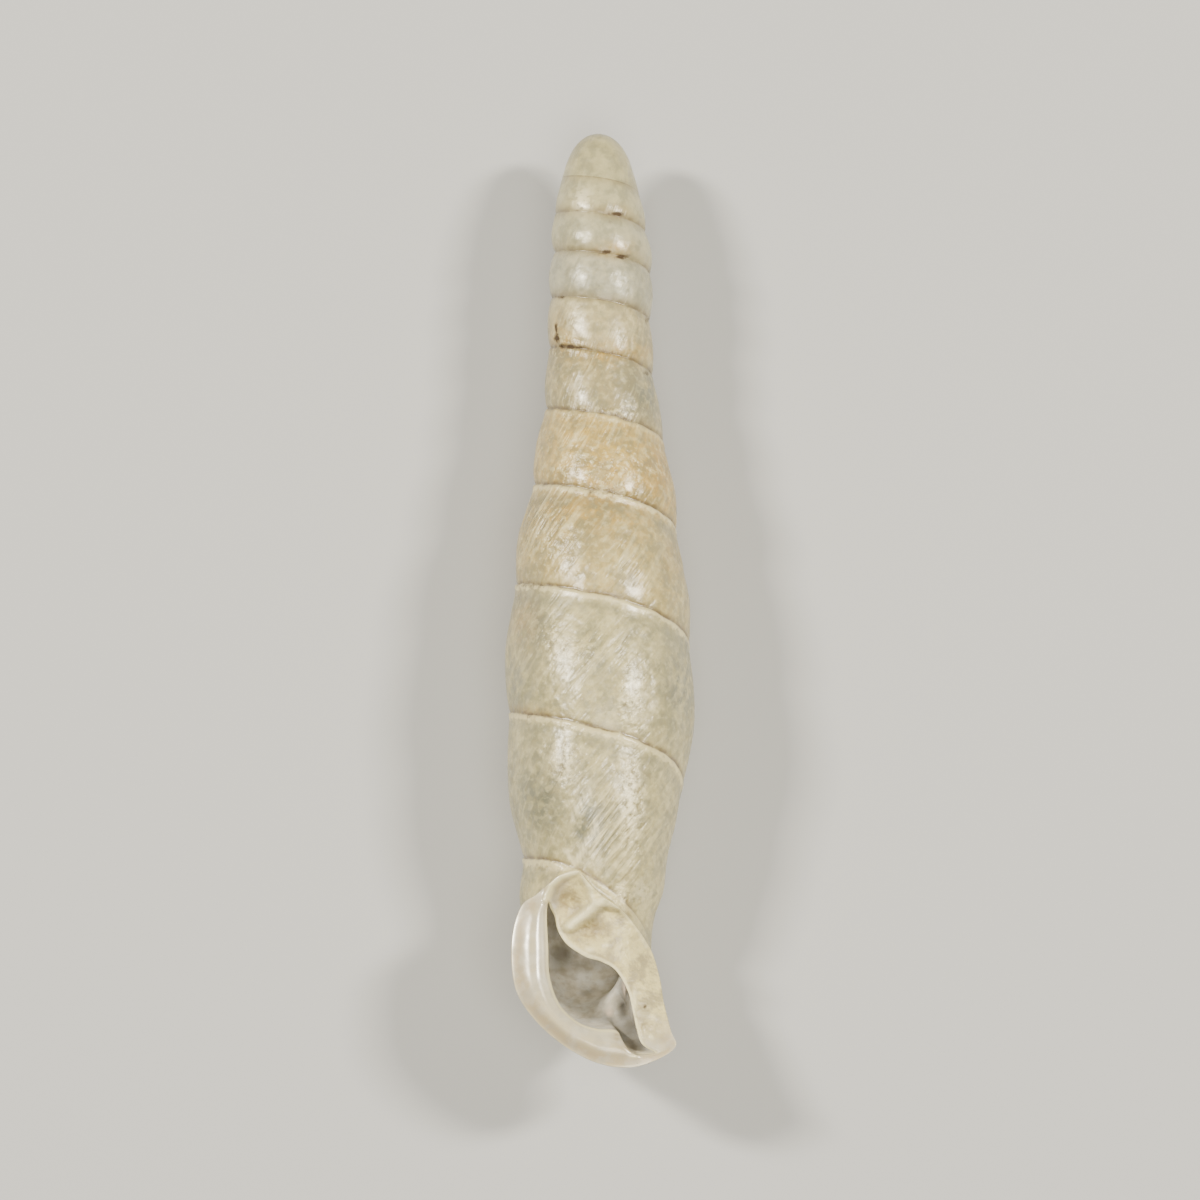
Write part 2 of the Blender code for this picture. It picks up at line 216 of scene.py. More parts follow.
def capped(points, *loops):
    """The points and the middle of each loop of them, and triangles from its sides to it."""
    fans = [np.column_stack([loop, np.roll(loop, -1), np.full(len(loop), len(points) + n)])
            for n, loop in enumerate(loops)]
    return np.concatenate([points, [points[loop].mean(0) for loop in loops]]), np.concatenate(fans)


def placed(name, data):
    """A new object in the scene."""
    made = bpy.data.objects.new(name, data)
    bpy.context.scene.collection.objects.link(made)
    return made


def solid(name, points, quads, fans, maps):
    """A closed mesh object of quads and fans, with one UV map per entry of maps, whose rows
    belong to the quads' corners in turn; the hidden fans are left at zero."""
    mesh = bpy.data.meshes.new(name)
    mesh.from_pydata(points.tolist(), [], quads.tolist() + fans.tolist())
    for title, corners in maps.items():
        layer = mesh.uv_layers.new(name=title)
        values = np.zeros((len(mesh.loops), 2))
        values[:quads.size] = corners
        layer.uv.foreach_set("vector", values.ravel())
    loose = bmesh.new()
    loose.from_mesh(mesh)
    bmesh.ops.recalc_face_normals(loose, faces=loose.faces)
    loose.to_mesh(mesh)
    loose.free()
    return placed(name, mesh)


def wound_spindle():
    """The spiral band on a grid of turn and share, where the last row of a column is the
    first row of the column one turn on."""
    columns = int((LAST_TURN - FIRST_TURN) * STEPS_PER_TURN) + 1
    turn = FIRST_TURN + np.arange(columns) / STEPS_PER_TURN
    even = np.linspace(0, 1, ROWS_PER_WHORL + 1)
    share = lerp(even, (1 - np.cos(np.pi * even)) / 2, ROWS_DRAWN_TO_SUTURES)
    points = spiral_band(*np.broadcast_arrays(turn[:, None], share[None, :-1])).reshape(-1, 3)
    edge_turn = turn[-STEPS_PER_TURN:]
    lower_edge = spiral_band(edge_turn, np.ones_like(edge_turn))

    def vertex(column, row):
        one_turn_on = column + STEPS_PER_TURN
        on_the_edge = columns * ROWS_PER_WHORL + one_turn_on - columns
        joined = np.where(one_turn_on < columns, one_turn_on * ROWS_PER_WHORL, on_the_edge)
        return np.where(row == ROWS_PER_WHORL, joined, column * ROWS_PER_WHORL + row)

    column, row = np.meshgrid(np.arange(columns - 1), np.arange(ROWS_PER_WHORL), indexing="ij")
    column_of = np.stack([column, column, column + 1, column + 1], -1)
    row_of = np.stack([row, row + 1, row + 1, row], -1)
    rows_up = np.arange(ROWS_PER_WHORL, 0, -1)
    first_loop = np.append(vertex(np.arange(STEPS_PER_TURN), 0), vertex(0, rows_up))
    last_loop = np.concatenate([vertex(np.array([columns - 1]), 0),
                                np.arange(STEPS_PER_TURN) + columns * ROWS_PER_WHORL,
                                vertex(columns - 1, rows_up[1:])])
    points, ends = capped(np.concatenate([points, lower_edge]), first_loop, last_loop)
    whorl_height = suture_at(turn + 1) - suture_at(turn)
    corner_turn, corner_share = turn[column_of].ravel(), share[row_of].ravel()
    corner_height = whorl_height[column_of].ravel()
    return solid("wound_spindle", points, vertex(column_of, row_of).reshape(-1, 4), ends,
                 {"coil": np.column_stack([corner_turn, corner_share]),
                  "whorl": np.column_stack([corner_share, 1 - corner_share])
                  * corner_height[:, None],
                  "rim": np.zeros((corner_turn.size, 2))})


# The mouth: the last thing that the snail built, a thick glossy lip rolled back all round,
# on a sleeve whose inside is the throat. Its right side is a long S-shaped wall that the
# door plate once slid behind, with a strong ridge, the upper lamella, across its top.
RIM = np.array([  # outer rim, from its top down the left side and back up the right
    (-0.71, 23.68, 2.32), (-1.25, 23.81, 2.28), (-1.64, 24.11, 2.18), (-2.03, 24.44, 2.06),
    (-2.54, 24.85, 2.0), (-2.83, 25.95, 1.94), (-2.72, 27.42, 1.88), (-2.12, 28.42, 1.86),
    (-1.17, 29.27, 1.86), (-0.1, 29.83, 1.86), (0.96, 29.98, 1.85), (1.86, 29.71, 1.85),
    (2.43, 29.29, 1.85), (2.28, 28.81, 1.75), (2.06, 27.97, 1.45), (1.9, 27.07, 1.1),
    (1.64, 26.24, 0.85), (1.22, 25.56, 1.38), (0.71, 24.95, 1.8), (0.03, 24.44, 2.15),
    (-0.39, 24.02, 2.28),
])
OPENING = np.array([  # edge of the opening at the same points
    (-1.45, 25.17, 1.75), (-1.58, 24.89, 1.8), (-1.66, 24.71, 1.88), (-1.7, 24.95, 2.0),
    (-1.7, 25.37, 2.06), (-1.66, 26.11, 2.06), (-1.61, 27.07, 2.01), (-1.29, 27.97, 1.97),
    (-0.71, 28.52, 1.96), (-0.1, 28.74, 1.96), (0.58, 28.84, 1.92), (0.77, 29.48, 1.75),
    (1.77, 29.53, 1.85), (1.32, 29.19, 1.95), (1.09, 28.36, 2.0), (0.9, 27.55, 1.95),
    (0.51, 26.88, 1.9), (0.03, 26.59, 1.85), (-0.48, 26.43, 1.85), (-1.06, 26.04, 1.8),
    (-1.35, 25.59, 1.75),
])
ROLL = np.array([  # how far the lip is rolled up between the two, at the same points
    0.0, 0.02, 0.05, 0.15, 0.25, 0.3, 0.32, 0.32, 0.32, 0.3, 0.28, 0.15,
    0.05, 0.05, 0.1, 0.12, 0.15, 0.15, 0.05, -0.1, -0.12,
])
ROLL_TOWARDS_OPENING = 1.25  # above 1, the roll is highest nearer to the opening
RIM_EDGE = 0.12
RIM_ROUNDING = np.radians(np.linspace(-60, 40, 6))  # over the rim's edge, from below it
LIP_THICKNESS = 0.26
FLARE, INSIDE_FLARE = 1.3, 0.7  # above 1, a side widens mostly near the rim, below 1, early
UNEVENNESS, LUMPS_ACROSS = 0.008, 3.1  # of the face, and lumps to a millimetre
MOTTLE_SHIFT = 60  # of the lumps' columns, which keeps them above zero
STEPS_PER_RIM_POINT = 10

# The throat turns back and to the right round the columella, the shell's inner pillar
COLUMELLA_RIGHT, COLUMELLA_FRONT = 1.1, 0.3
THROAT_TURN = 140.0
THROAT_GAP = 0.26
WALL, SLEEVE = 0.36, 0.2
THROAT_TOP, THROAT_BOTTOM = (24.0, 22.7), (28.4, 26.2)
THROAT_SECTIONS = 26
THROAT_END = ((0.45, 0.32), (0.8, 0.22), (0.96, 0.1))  # shrink and reach of its closing rings
MOUTH_SHARES = np.linspace(0.1, 1.0, 10)  # of the way from throat to opening
FACE_SHARES = (1 - np.cos(np.pi * np.linspace(0.06, 0.97, 30))) / 2  # and from rim to opening

# Raised marks on the mouth's face: the line that each follows, its height and half width,
# and how flat its top is, from 2 for a bell curve
UPPER_LAMELLA = [(0.55, 24.8), (0.18, 24.66), (-0.12, 24.75), (-0.52, 25.12), (-0.98, 25.46)]
INNER_RIDGE = [(-0.51, 23.88), (-0.32, 24.24), (-0.23, 24.58)]
ARC_RIDGE = [(-0.75, 23.72), (-1.24, 23.88), (-1.58, 24.16), (-1.72, 24.6)]
WALL_CREST = [(-0.23, 24.21), (0.16, 24.53), (0.87, 25.11), (1.22, 25.56), (1.5, 26.1)]
RECESS_SILL = [(1.13, 28.18), (1.6, 28.36), (2.15, 28.56)]
WALL_STREAK = [(1.09, 27.4), (1.13, 27.95)]
RAISED = (
    (UPPER_LAMELLA, 0.26, 0.19, 4), (INNER_RIDGE, 0.12, 0.11, 3), (ARC_RIDGE, 0.13, 0.12, 3),
    (WALL_CREST, 0.07, 0.09, 2), (RECESS_SILL, 0.025, 0.1, 2), (WALL_STREAK, 0.04, 0.07, 2),
)
# Hollows and crumbs on it: centre, reach right and down, and height
DIMPLES = (
    ((-1.06, 24.75), (0.3, 0.34), -0.12), ((-0.3, 25.62), (0.42, 0.26), -0.13),
    ((1.62, 28.8), (0.36, 0.3), -0.13), ((-0.32, 26.21), (0.1, 0.07), 0.05),
    ((0.19, 26.08), (0.09, 0.08), 0.06), ((1.09, 29.62), (0.1, 0.06), 0.05),
    ((1.64, 28.97), (0.08, 0.09), 0.08), ((0.7, 24.55), (0.1, 0.3), 0.06),
)
BEAD_HEIGHT, BEAD_HALF_WIDTH, BEAD_FROM_EDGE = 0.035, 0.08, 0.1
COLUMELLAR_FOLD = [(0.82, 27.38), (0.55, 27.8), (0.27, 28.3)]
FOLD_HEIGHT, FOLD_HALF_WIDTH = 0.22, 0.12
OUTER_WALL = (-0.2, 0.4)  # how far out of the mouth's middle the throat's outer wall starts


def closed_curve(points, steps):
    """A closed Catmull-Rom curve through the points, with this many steps to each next one."""
    before, after, beyond = (np.roll(points, -n, axis=0)[:, None] for n in (-1, 1, 2))
    here = points[:, None]
    t = (np.arange(steps) / steps).reshape((1, steps) + (1,) * (points.ndim - 1))
    curve = here + 0.5 * (
        (after - before) * t
        + (2 * before - 5 * here + 4 * after - beyond) * t ** 2
        + (3 * here - before - 3 * after + beyond) * t ** 3)
    return curve.reshape((-1,) + points.shape[1:])


rim_curve = closed_curve(RIM, STEPS_PER_RIM_POINT)
opening_curve = closed_curve(OPENING, STEPS_PER_RIM_POINT)
roll_curve = closed_curve(ROLL, STEPS_PER_RIM_POINT)
lip_width = np.linalg.norm((opening_curve - rim_curve)[:, :2], axis=1)
# The direction of each point of the rim from the mouth's middle: outward and down
reach = (rim_curve.max(axis=0) - rim_curve.min(axis=0)) / 2
out, down = ((rim_curve - (rim_curve.max(axis=0) + rim_curve.min(axis=0)) / 2) / reach)[:, :2].T
out_of_mouth, down_the_mouth = -out / np.hypot(out, down), down / np.hypot(out, down)


def off_line(points, line):
    """Distance in the plane from each point to a line of straight pieces."""
    pieces = np.array(line)
    start, step = pieces[:-1], np.diff(pieces, axis=0)
    offset = points[..., None, :2] - start
    share = ((offset * step).sum(-1) / (step ** 2).sum(-1)).clip(0, 1)
    return np.linalg.norm(offset - share[..., None] * step, axis=-1).min(axis=-1)


def bar(points, line, height, half_width, flatness):
    """A rounded bar along a line: a bell curve of the distance, flatter for a higher power."""
    return height * np.exp(-(off_line(points, line) / half_width) ** flatness)


def dimple(points, centre, reach, height):
    """A round-edged bump or hollow: a bell curve over an ellipse."""
    offset = (points[..., :2] - centre) / reach
    return height * np.exp(-(offset ** 2).sum(-1))


def outward_wall(down, angle):
    """How far the outside lies from the columella along a ray turned back by the angle: the
    far crossing with the ellipse of the whorl's section."""
    radius = float(outside_radius(np.array(down), np.array(0.0)))
    right, front, depth = through(AXIS, np.array(down))
    across, along = COLUMELLA_RIGHT - right, (COLUMELLA_FRONT - front) / depth
    step_across, step_along = -np.cos(angle), -np.sin(angle) / depth
    a = step_across ** 2 + step_along ** 2
    b = across * step_across + along * step_along
    c = across ** 2 + along ** 2 - radius ** 2
    return (-b + np.sqrt(b * b - a * c)) / a


def throat_section(share, extra):
    """An egg-shaped ring of the throat, share of the way round the columella."""
    angle = np.radians(THROAT_TURN * share)
    top = lerp(*THROAT_TOP, share)
    bottom = lerp(*THROAT_BOTTOM, share)
    middle = (top + bottom) / 2
    half_width = (outward_wall(middle, angle) - WALL - THROAT_GAP) / 2
    away = THROAT_GAP + half_width + (half_width + extra) * out_of_mouth
    return np.stack([COLUMELLA_RIGHT - away * np.cos(angle),
                     middle + ((bottom - top) / 2 + extra) * down_the_mouth,
                     COLUMELLA_FRONT - away * np.sin(angle)], axis=-1)


def throat_rings(extra):
    """Three shrinking rings that round off the far end, then the sections up to the mouth."""
    ring = throat_section(1.0, extra)
    middle = ring.mean(axis=0)
    forward = throat_section(1.0, 0.0).mean(axis=0) - throat_section(0.97, 0.0).mean(axis=0)
    forward /= np.linalg.norm(forward)
    end = [middle + (ring - middle) * shrink + forward * (reach + extra)
           for shrink, reach in THROAT_END]
    return end + [throat_section(share, extra) for share in np.linspace(1, 0, THROAT_SECTIONS)]


def folded(rings):
    """The throat's outer wall raised towards the columella along the fold."""
    raised = []
    for ring in rings:
        inward = np.array([COLUMELLA_RIGHT, 0, COLUMELLA_FRONT]) - ring * (1, 0, 1)
        inward /= np.linalg.norm(inward, axis=1, keepdims=True)
        height = bar(ring, COLUMELLAR_FOLD, FOLD_HEIGHT, FOLD_HALF_WIDTH, 2)
        raised.append(ring + inward * (height * eased(out_of_mouth, *OUTER_WALL))[:, None])
    return raised


def mouth_inside():
    """From the throat's first section up to the edge of the opening."""
    start = throat_section(0.0, 0.0)
    return [np.column_stack([lerp(start[:, :2], opening_curve[:, :2], share ** INSIDE_FLARE),
                             lerp(start[:, 2], opening_curve[:, 2], share)])
            for share in MOUTH_SHARES]


def mouth_outside():
    """Round the inside, ever farther out, from the sleeve's wall to the whole rim."""
    start = throat_section(0.0, SLEEVE) - throat_section(0.0, 0.0)
    flare = rim_curve - (0, 0, LIP_THICKNESS) - opening_curve
    return [ring + lerp(start, flare, share ** FLARE)
            for share, ring in zip(MOUTH_SHARES[:-1], mouth_inside())]


def face_relief(row, share):
    """Height over the straight face between rim and opening: the roll of the lip, a bead
    along the opening, and the raised marks, hollows and crumbs."""
    height = roll_curve * np.sin(np.pi * share ** ROLL_TOWARDS_OPENING)
    from_opening = (1 - share) * lip_width
    height += BEAD_HEIGHT * np.exp(-((from_opening - BEAD_FROM_EDGE) / BEAD_HALF_WIDTH) ** 2)
    height += sum(bar(row, *mark) for mark in RAISED)
    height += sum(dimple(row, *mark) for mark in DIMPLES)
    return height + UNEVENNESS * mottle(row[:, 0] * LUMPS_ACROSS + MOTTLE_SHIFT,
                                        row[:, 1] * LUMPS_ACROSS, 7)


def mouth_face():
    """Over the rounded edge of the rim and across its face to the opening."""
    inward = (opening_curve - rim_curve) * (1, 1, 0) / lip_width[:, None]
    rounded = [rim_curve + inward * RIM_EDGE * (1 - np.cos(angle))
               + np.array([0, 0, RIM_EDGE]) * np.sin(angle)
               for angle in RIM_ROUNDING]
    face = []
    for share in FACE_SHARES:
        row = lerp(rim_curve + (0, 0, RIM_EDGE), opening_curve, share)
        row[:, 2] += face_relief(row, share)
        face.append(row)
    return rounded + face


PLAIN_TURN = 9.6  # the neck's turn, whose colour the sleeve's outside shares
EDGE_LEVEL = 0.01  # of the rim map, over the rim's rounded edge


def tube(name, rings, levels):
    """A closed body from rings of points, with a fan at each end; the rim map counts once
    round each ring and gives its level."""
    rows, columns = len(rings), len(rings[0])
    row, column = np.meshgrid(np.arange(rows - 1), np.arange(columns), indexing="ij")
    row_of = np.stack([row, row, row + 1, row + 1], -1)
    column_of = np.stack([column, column + 1, column + 1, column], -1)
    right, down, front = np.concatenate(rings).T
    ring = np.arange(columns)
    points, ends = capped(in_place(right, along_axis(down, front), front), ring,
                          ring + (rows - 1) * columns)
    size = row_of.size
    return solid(name, points, (row_of * columns + column_of % columns).reshape(-1, 4), ends,
                 {"coil": np.full((size, 2), (PLAIN_TURN, 0.5)), "whorl": np.ones((size, 2)),
                  "rim": np.column_stack([column_of.ravel() / columns, levels[row_of.ravel()]])})


def mouth_sleeve():
    """Up the outside of the sleeve, over the rim and back down the throat. Its levels run
    from -1 to 0 on the outside, to 1 across the face and to 2 at the throat's end."""
    outside = throat_rings(SLEEVE) + mouth_outside()
    face = mouth_face()
    inside = folded(throat_rings(0.0)) + mouth_inside()
    edge = np.full(len(face) - len(FACE_SHARES), EDGE_LEVEL)
    levels = np.concatenate([np.linspace(-1, -EDGE_LEVEL, len(outside)), edge, FACE_SHARES,
                             np.linspace(1, 2, len(inside))])
    return tube("mouth_sleeve", outside + face + inside[::-1], levels)


def throat_cutter():
    """A body that ends halfway through the sleeve's wall and stands out of the mouth."""
    between = [lerp(inner, outer, 0.5) for inner, outer in zip(mouth_inside(), mouth_outside())]
    above = lerp(rim_curve, opening_curve, 0.5) * (1, 1, 0) + (0, 0, FLAT_SPOT_DEPTH)
    rings = throat_rings(SLEEVE / 2) + between + [above]
    return tube("throat_cutter", rings, np.zeros(len(rings)))


# Grown together: the sleeve passes into the neck without a joint, the throat is open behind
# the mouth, and a small flat spot under the widest whorls is where the shell lies.
FILLET_REACH = 0.38  # how far from the meeting line the two surfaces blend
FILLET_ROUNDS, FILLET_PULL = 24, 0.6
HOPS_TO_REACH = 16
COLOUR_BLEND_ROUNDS, COLOUR_PULL = 30, 0.5
THROAT_LEVELS, FACE_LEVELS = (1.0, 1.03), (0.0, 0.02)  # of the rim map, where each begins
FACING_UP = (-0.4, 0.3)  # in front of the axis, where the side that faces up begins


def flat_cutter():
    """A block whose top face is the surface that the shell lies on."""
    reach = HEIGHT
    corners = np.array([(x, y, z) for x in (-reach, reach) for y in (-reach, reach)
                        for z in (-reach, 0.0)])
    sides = np.array([(0, 1, 3, 2), (4, 6, 7, 5), (0, 4, 5, 1), (2, 3, 7, 6), (0, 2, 6, 4),
                      (1, 5, 7, 3)])
    return solid("flat_cutter", corners, sides, np.zeros((0, 3), int), {})


def grown_together(body, steps):
    """The mesh of the body after each step's exact Boolean with its helper."""
    for helper, operation in steps:
        modifier = body.modifiers.new(helper.name, "BOOLEAN")
        modifier.operation = operation
        modifier.solver = "EXACT"
        modifier.object = helper
    depsgraph = bpy.context.evaluated_depsgraph_get()
    mesh = bpy.data.meshes.new_from_object(body.evaluated_get(depsgraph), depsgraph=depsgraph)
    for used in [body] + [helper for helper, operation in steps]:
        bpy.data.objects.remove(used)
    return mesh


def evened(values, edges, weight, rounds):
    """Values drawn by their weight towards the mean of their neighbours', again and again."""
    first, second = edges.T
    size = len(values)
    neighbours = np.bincount(edges.ravel(), minlength=size)[:, None]
    for _ in range(rounds):
        total = np.stack([np.bincount(first, column[second], size)
                          + np.bincount(second, column[first], size) for column in values.T], -1)
        values = values + weight[:, None] * (total / neighbours - values)
    return values


def distance_along(edges, points, seeds, hops):
    """Shortest way along the edges from each vertex to a seed, after this many hops."""
    first, second = edges.T
    length = np.linalg.norm(points[first] - points[second], axis=1)
    distance = np.where(seeds, 0.0, np.inf)
    for _ in range(hops):
        nearer = distance.copy()
        np.minimum.at(nearer, first, distance[second] + length)
        np.minimum.at(nearer, second, distance[first] + length)
        distance = nearer
    return distance


def crumbs(right, down):
    """Random lumps a fifth of a millimetre wide, as heights from about -1 to 1."""
    return (0.7 * mottle(right * 5 + MOTTLE_SHIFT, down * 4, 9)
            + 0.5 * mottle(right * 9 + MOTTLE_SHIFT, down * 8, 10))


def rows_of(items, name, width, kind=float):
    """One property of all the vertices, edges or corners, a row for each."""
    values = np.zeros(len(items) * width, kind)
    items.foreach_get(name, values)
    return values.reshape(-1, width)


spindle = wound_spindle()
shell_mesh = grown_together(spindle, [(throat_cutter(), "DIFFERENCE"), (mouth_sleeve(), "UNION"),
                                      (flat_cutter(), "DIFFERENCE")])
shell_mesh.name = "door_snail_shell"
shell = placed("door_snail_shell", shell_mesh)

vertex_count = len(shell_mesh.vertices)
points = rows_of(shell_mesh.vertices, "co", 3)
edges = rows_of(shell_mesh.edges, "vertices", 2, int)
corner_vertex = rows_of(shell_mesh.loops, "vertex_index", 1, int)[:, 0]
corner_level = rows_of(shell_mesh.uv_layers["rim"].uv, "vector", 2)[:, 1]
corners_met = np.bincount(corner_vertex, minlength=vertex_count)
level = np.bincount(corner_vertex, corner_level, vertex_count) / corners_met
on_sleeve = (corner_level != 0).astype(float)
sleeve_share = np.bincount(corner_vertex, on_sleeve, vertex_count) / corners_met
meeting_line = (sleeve_share > 0) & (sleeve_share < 1)
from_meeting = distance_along(edges, points, meeting_line, HOPS_TO_REACH)
blend_weight = 1 - eased(from_meeting, 0.0, FILLET_REACH)
points = evened(points, edges, FILLET_PULL * blend_weight, FILLET_ROUNDS)
mouth_share = evened(sleeve_share[:, None], edges, COLOUR_PULL * np.ones(vertex_count),
                     COLOUR_BLEND_ROUNDS)[:, 0]

# Where each vertex looks to be, and what part of it faces the viewer
right, front = points[:, 0], points[:, 2] - FLAT_SPOT_DEPTH
down = (HEIGHT / 2 - points[:, 1]) * np.cos(LEAN) - front * np.sin(LEAN)
seen = np.column_stack([right, down])
in_throat = eased(level, *THROAT_LEVELS)
on_face = eased(level, *FACE_LEVELS) * (1 - in_throat)
up = np.maximum(eased(front, *FACING_UP), in_throat)


MARK_FLATNESS = 3


def patches(table):
    """The strongest of several soft ellipses at each vertex that faces up: centre right and
    down, reach right and down, strength, as they look to the viewer."""
    strongest = np.zeros(vertex_count)
    for centre, reach, strength in table:
        offset = (((seen - centre) / reach) ** 2).sum(axis=1)
        strongest = np.maximum(strongest, strength * np.exp(-offset))
    return strongest.clip(0, 1) * up


def marks(lines):
    """The strongest of several soft lines: the line, its half width and its strength."""
    return np.max([bar(seen, line, strength, half_width, MARK_FLATNESS)
                   for line, half_width, strength in lines], axis=0)


# Wear: places where the surface has crumbled, and scratches above the mouth
CRUMBLED = (
    ((-0.8, 16.6), (0.6, 0.4), 1.0), ((-1.55, 16.3), (0.3, 0.6), 1.0),
    ((0.96, 18.2), (0.4, 1.1), 1.0), ((-1.13, 20.1), (0.5, 0.9), 1.0),
    ((1.03, 21.6), (0.35, 1.7), 1.0), ((0.7, 24.5), (0.22, 0.4), 1.6),
    ((0.2, 10.7), (1.9, 0.7), 0.7), ((0.4, 11.5), (0.9, 0.3), 1.0),
    ((-1.6, 12.9), (1.0, 0.9), 0.6), ((1.55, 28.8), (0.5, 0.5), 0.8),
    ((-1.3, 6.8), (0.5, 0.3), 1.0), ((0.0, 9.0), (1.4, 0.3), 0.6),
)
CRUMB_HEIGHT = SCRATCH_HEIGHT = 0.03
SCRATCHES = (
    ([(-1.1, 23.05), (-0.8, 23.5)], 0.07, 0.7), ([(-0.05, 22.12), (-0.72, 23.34)], 0.09, 0.8),
    ([(-0.29, 21.06), (-0.84, 21.9)], 0.08, 0.7), ([(-0.2, 22.5), (-0.8, 23.5)], 0.07, 0.6),
)
shell_mesh.vertices.foreach_set("co", points.ravel())
shell_mesh.update()
outward = rows_of(shell_mesh.vertex_normals, "vector", 3)
worn = CRUMB_HEIGHT * patches(CRUMBLED) * crumbs(right, down)
scratched = marks(SCRATCHES) * up * (1 - on_face) * (1 - in_throat)
points = points + outward * (worn + SCRATCH_HEIGHT * scratched)[:, None]
shell_mesh.vertices.foreach_set("co", (points * MM).ravel())
shell_mesh.shade_smooth()
shell_mesh.update()


# Its surface: weathered lime, cream where it is chalky and grey-green where the wall is thin
# and clear, with tan and rusty stains, dirt and painted shade along the sutures, painted
# highlights on the whorls and a gloss that the fine growth lines break up. The lip is thicker,
# pinker and smoother, and the throat greyish brown with painted shade in its deep places.

# Colours down the coil, by the turn
WHORL_COLOURS = (
    (-2.0, (0.42, 0.38, 0.2)), (0.0, (0.48, 0.44, 0.25)), (1.0, (0.49, 0.46, 0.29)),
    (2.0, (0.45, 0.43, 0.31)), (2.9, (0.45, 0.43, 0.31)), (3.1, (0.48, 0.41, 0.22)),
    (4.0, (0.38, 0.31, 0.14)), (4.8, (0.38, 0.32, 0.18)), (5.15, (0.58, 0.4, 0.1)),
    (6.1, (0.52, 0.39, 0.13)), (7.0, (0.5, 0.44, 0.22)), (10.0, (0.5, 0.44, 0.22)),
)
GREY_GREEN, SUTURE_SHADE_OLIVE, TAN = (0.19, 0.19, 0.125), (0.26, 0.2, 0.08), (0.46, 0.29, 0.055)
# The brighter cream is pale chalk, and also the painted highlight on the whorls.
CHALK, CHALK_AND_PAINTED_HIGHLIGHT = (0.8, 0.71, 0.4), (0.92, 0.84, 0.56)
PIT_BROWN, GRIME = (0.28, 0.22, 0.11), (0.06, 0.035, 0.012)
LIP_COLOURS = (  # from the rim to the opening
    (0.0, (0.74, 0.65, 0.42)), (0.08, (0.6, 0.5, 0.31)), (0.2, (0.54, 0.44, 0.27)),
    (0.36, (0.52, 0.44, 0.27)), (0.55, (0.62, 0.55, 0.36)), (0.8, (0.6, 0.55, 0.4)),
    (1.0, (0.72, 0.66, 0.48)),
)
LIP_GREY, LIP_PALE, RIDGE_CREAM = (0.42, 0.39, 0.31), (0.66, 0.63, 0.53), (0.86, 0.79, 0.49)
WALL_CREAM, WALL_TAN, HOLLOW_TAN = (0.76, 0.66, 0.32), (0.42, 0.36, 0.2), (0.29, 0.215, 0.09)
# The last of these is the near-black of the painted shade in the throat.
THROAT_BROWN, THROAT_GREY, THROAT_PAINTED_SHADE = (0.88, 0.84, 0.74), (0.96, 0.95, 0.9), (0.045, 0.04, 0.033)
FOLD_PINK, SUTURE_DIRT = (0.8, 0.66, 0.54), (0.13, 0.09, 0.04)

# Patches of each colour
CLEAR_PATCHES = (
    ((-1.95, 21.4), (1.0, 1.5), 1.0), ((-0.45, 22.2), (0.5, 0.9), 1.4),
    ((2.6, 17.9), (0.7, 1.7), 1.0), ((-2.6, 17.6), (0.5, 1.1), 0.9),
    ((1.5, 8.4), (0.5, 0.9), 1.0), ((0.0, 5.0), (0.7, 0.4), 0.5),
    ((-0.1, 17.1), (0.25, 0.5), 0.7), ((-0.2, 12.9), (0.7, 0.7), 0.5),
    ((1.2, 16.4), (0.8, 0.5), 0.4), ((-1.9, 20.0), (0.5, 0.6), 0.6),
    ((-2.3, 15.6), (0.6, 1.0), 1.2), ((2.25, 13.7), (0.4, 0.8), 0.5),
)
TAN_PATCHES = (
    ((0.0, 11.9), (2.6, 0.8), 1.0), ((0.2, 7.05), (1.5, 0.33), 1.0),
    ((-1.35, 6.5), (0.4, 0.7), 0.8), ((-2.5, 15.6), (0.5, 1.1), 0.6),
    ((-1.4, 23.6), (0.5, 0.2), 0.6), ((0.3, 12.6), (1.6, 0.6), 0.4),
    ((0.85, 25.0), (0.15, 0.3), 0.6), ((0.4, 3.85), (0.5, 0.15), 0.9),
    ((-2.3, 18.6), (0.7, 0.18), 0.7), ((0.3, 10.9), (1.2, 0.5), 0.5),
    ((2.25, 13.7), (0.4, 0.8), 0.5), ((1.9, 10.9), (0.5, 0.9), 1.3),
    ((0.45, 3.7), (0.6, 0.26), 1.0), ((-1.15, 6.75), (0.5, 0.45), 1.0),
    ((0.45, 2.5), (0.4, 0.18), 0.7),
)
RIBBED_PATCHES = (
    ((-1.9, 12.4), (1.0, 1.1), 1.0), ((0.3, 22.3), (1.1, 1.3), 1.0),
    ((-0.2, 16.6), (1.6, 0.9), 0.6), ((0.9, 13.9), (0.9, 0.7), 0.7),
    ((-0.8, 20.6), (1.0, 0.9), 0.7), ((0.0, 9.6), (1.4, 0.6), 0.4),
)
HOLLOW_PATCHES = (
    ((-1.25, 24.45), (0.3, 0.3), 0.6), ((-1.06, 24.65), (0.44, 0.5), 0.9),
    ((-0.3, 25.55), (0.66, 0.38), 0.9),
    ((0.95, 29.35), (0.45, 0.18), 0.8), ((0.55, 28.9), (0.14, 0.4), 0.7),
    ((1.6, 28.75), (0.35, 0.28), 0.4), ((-1.0, 26.9), (0.8, 0.1), 0.5),
)
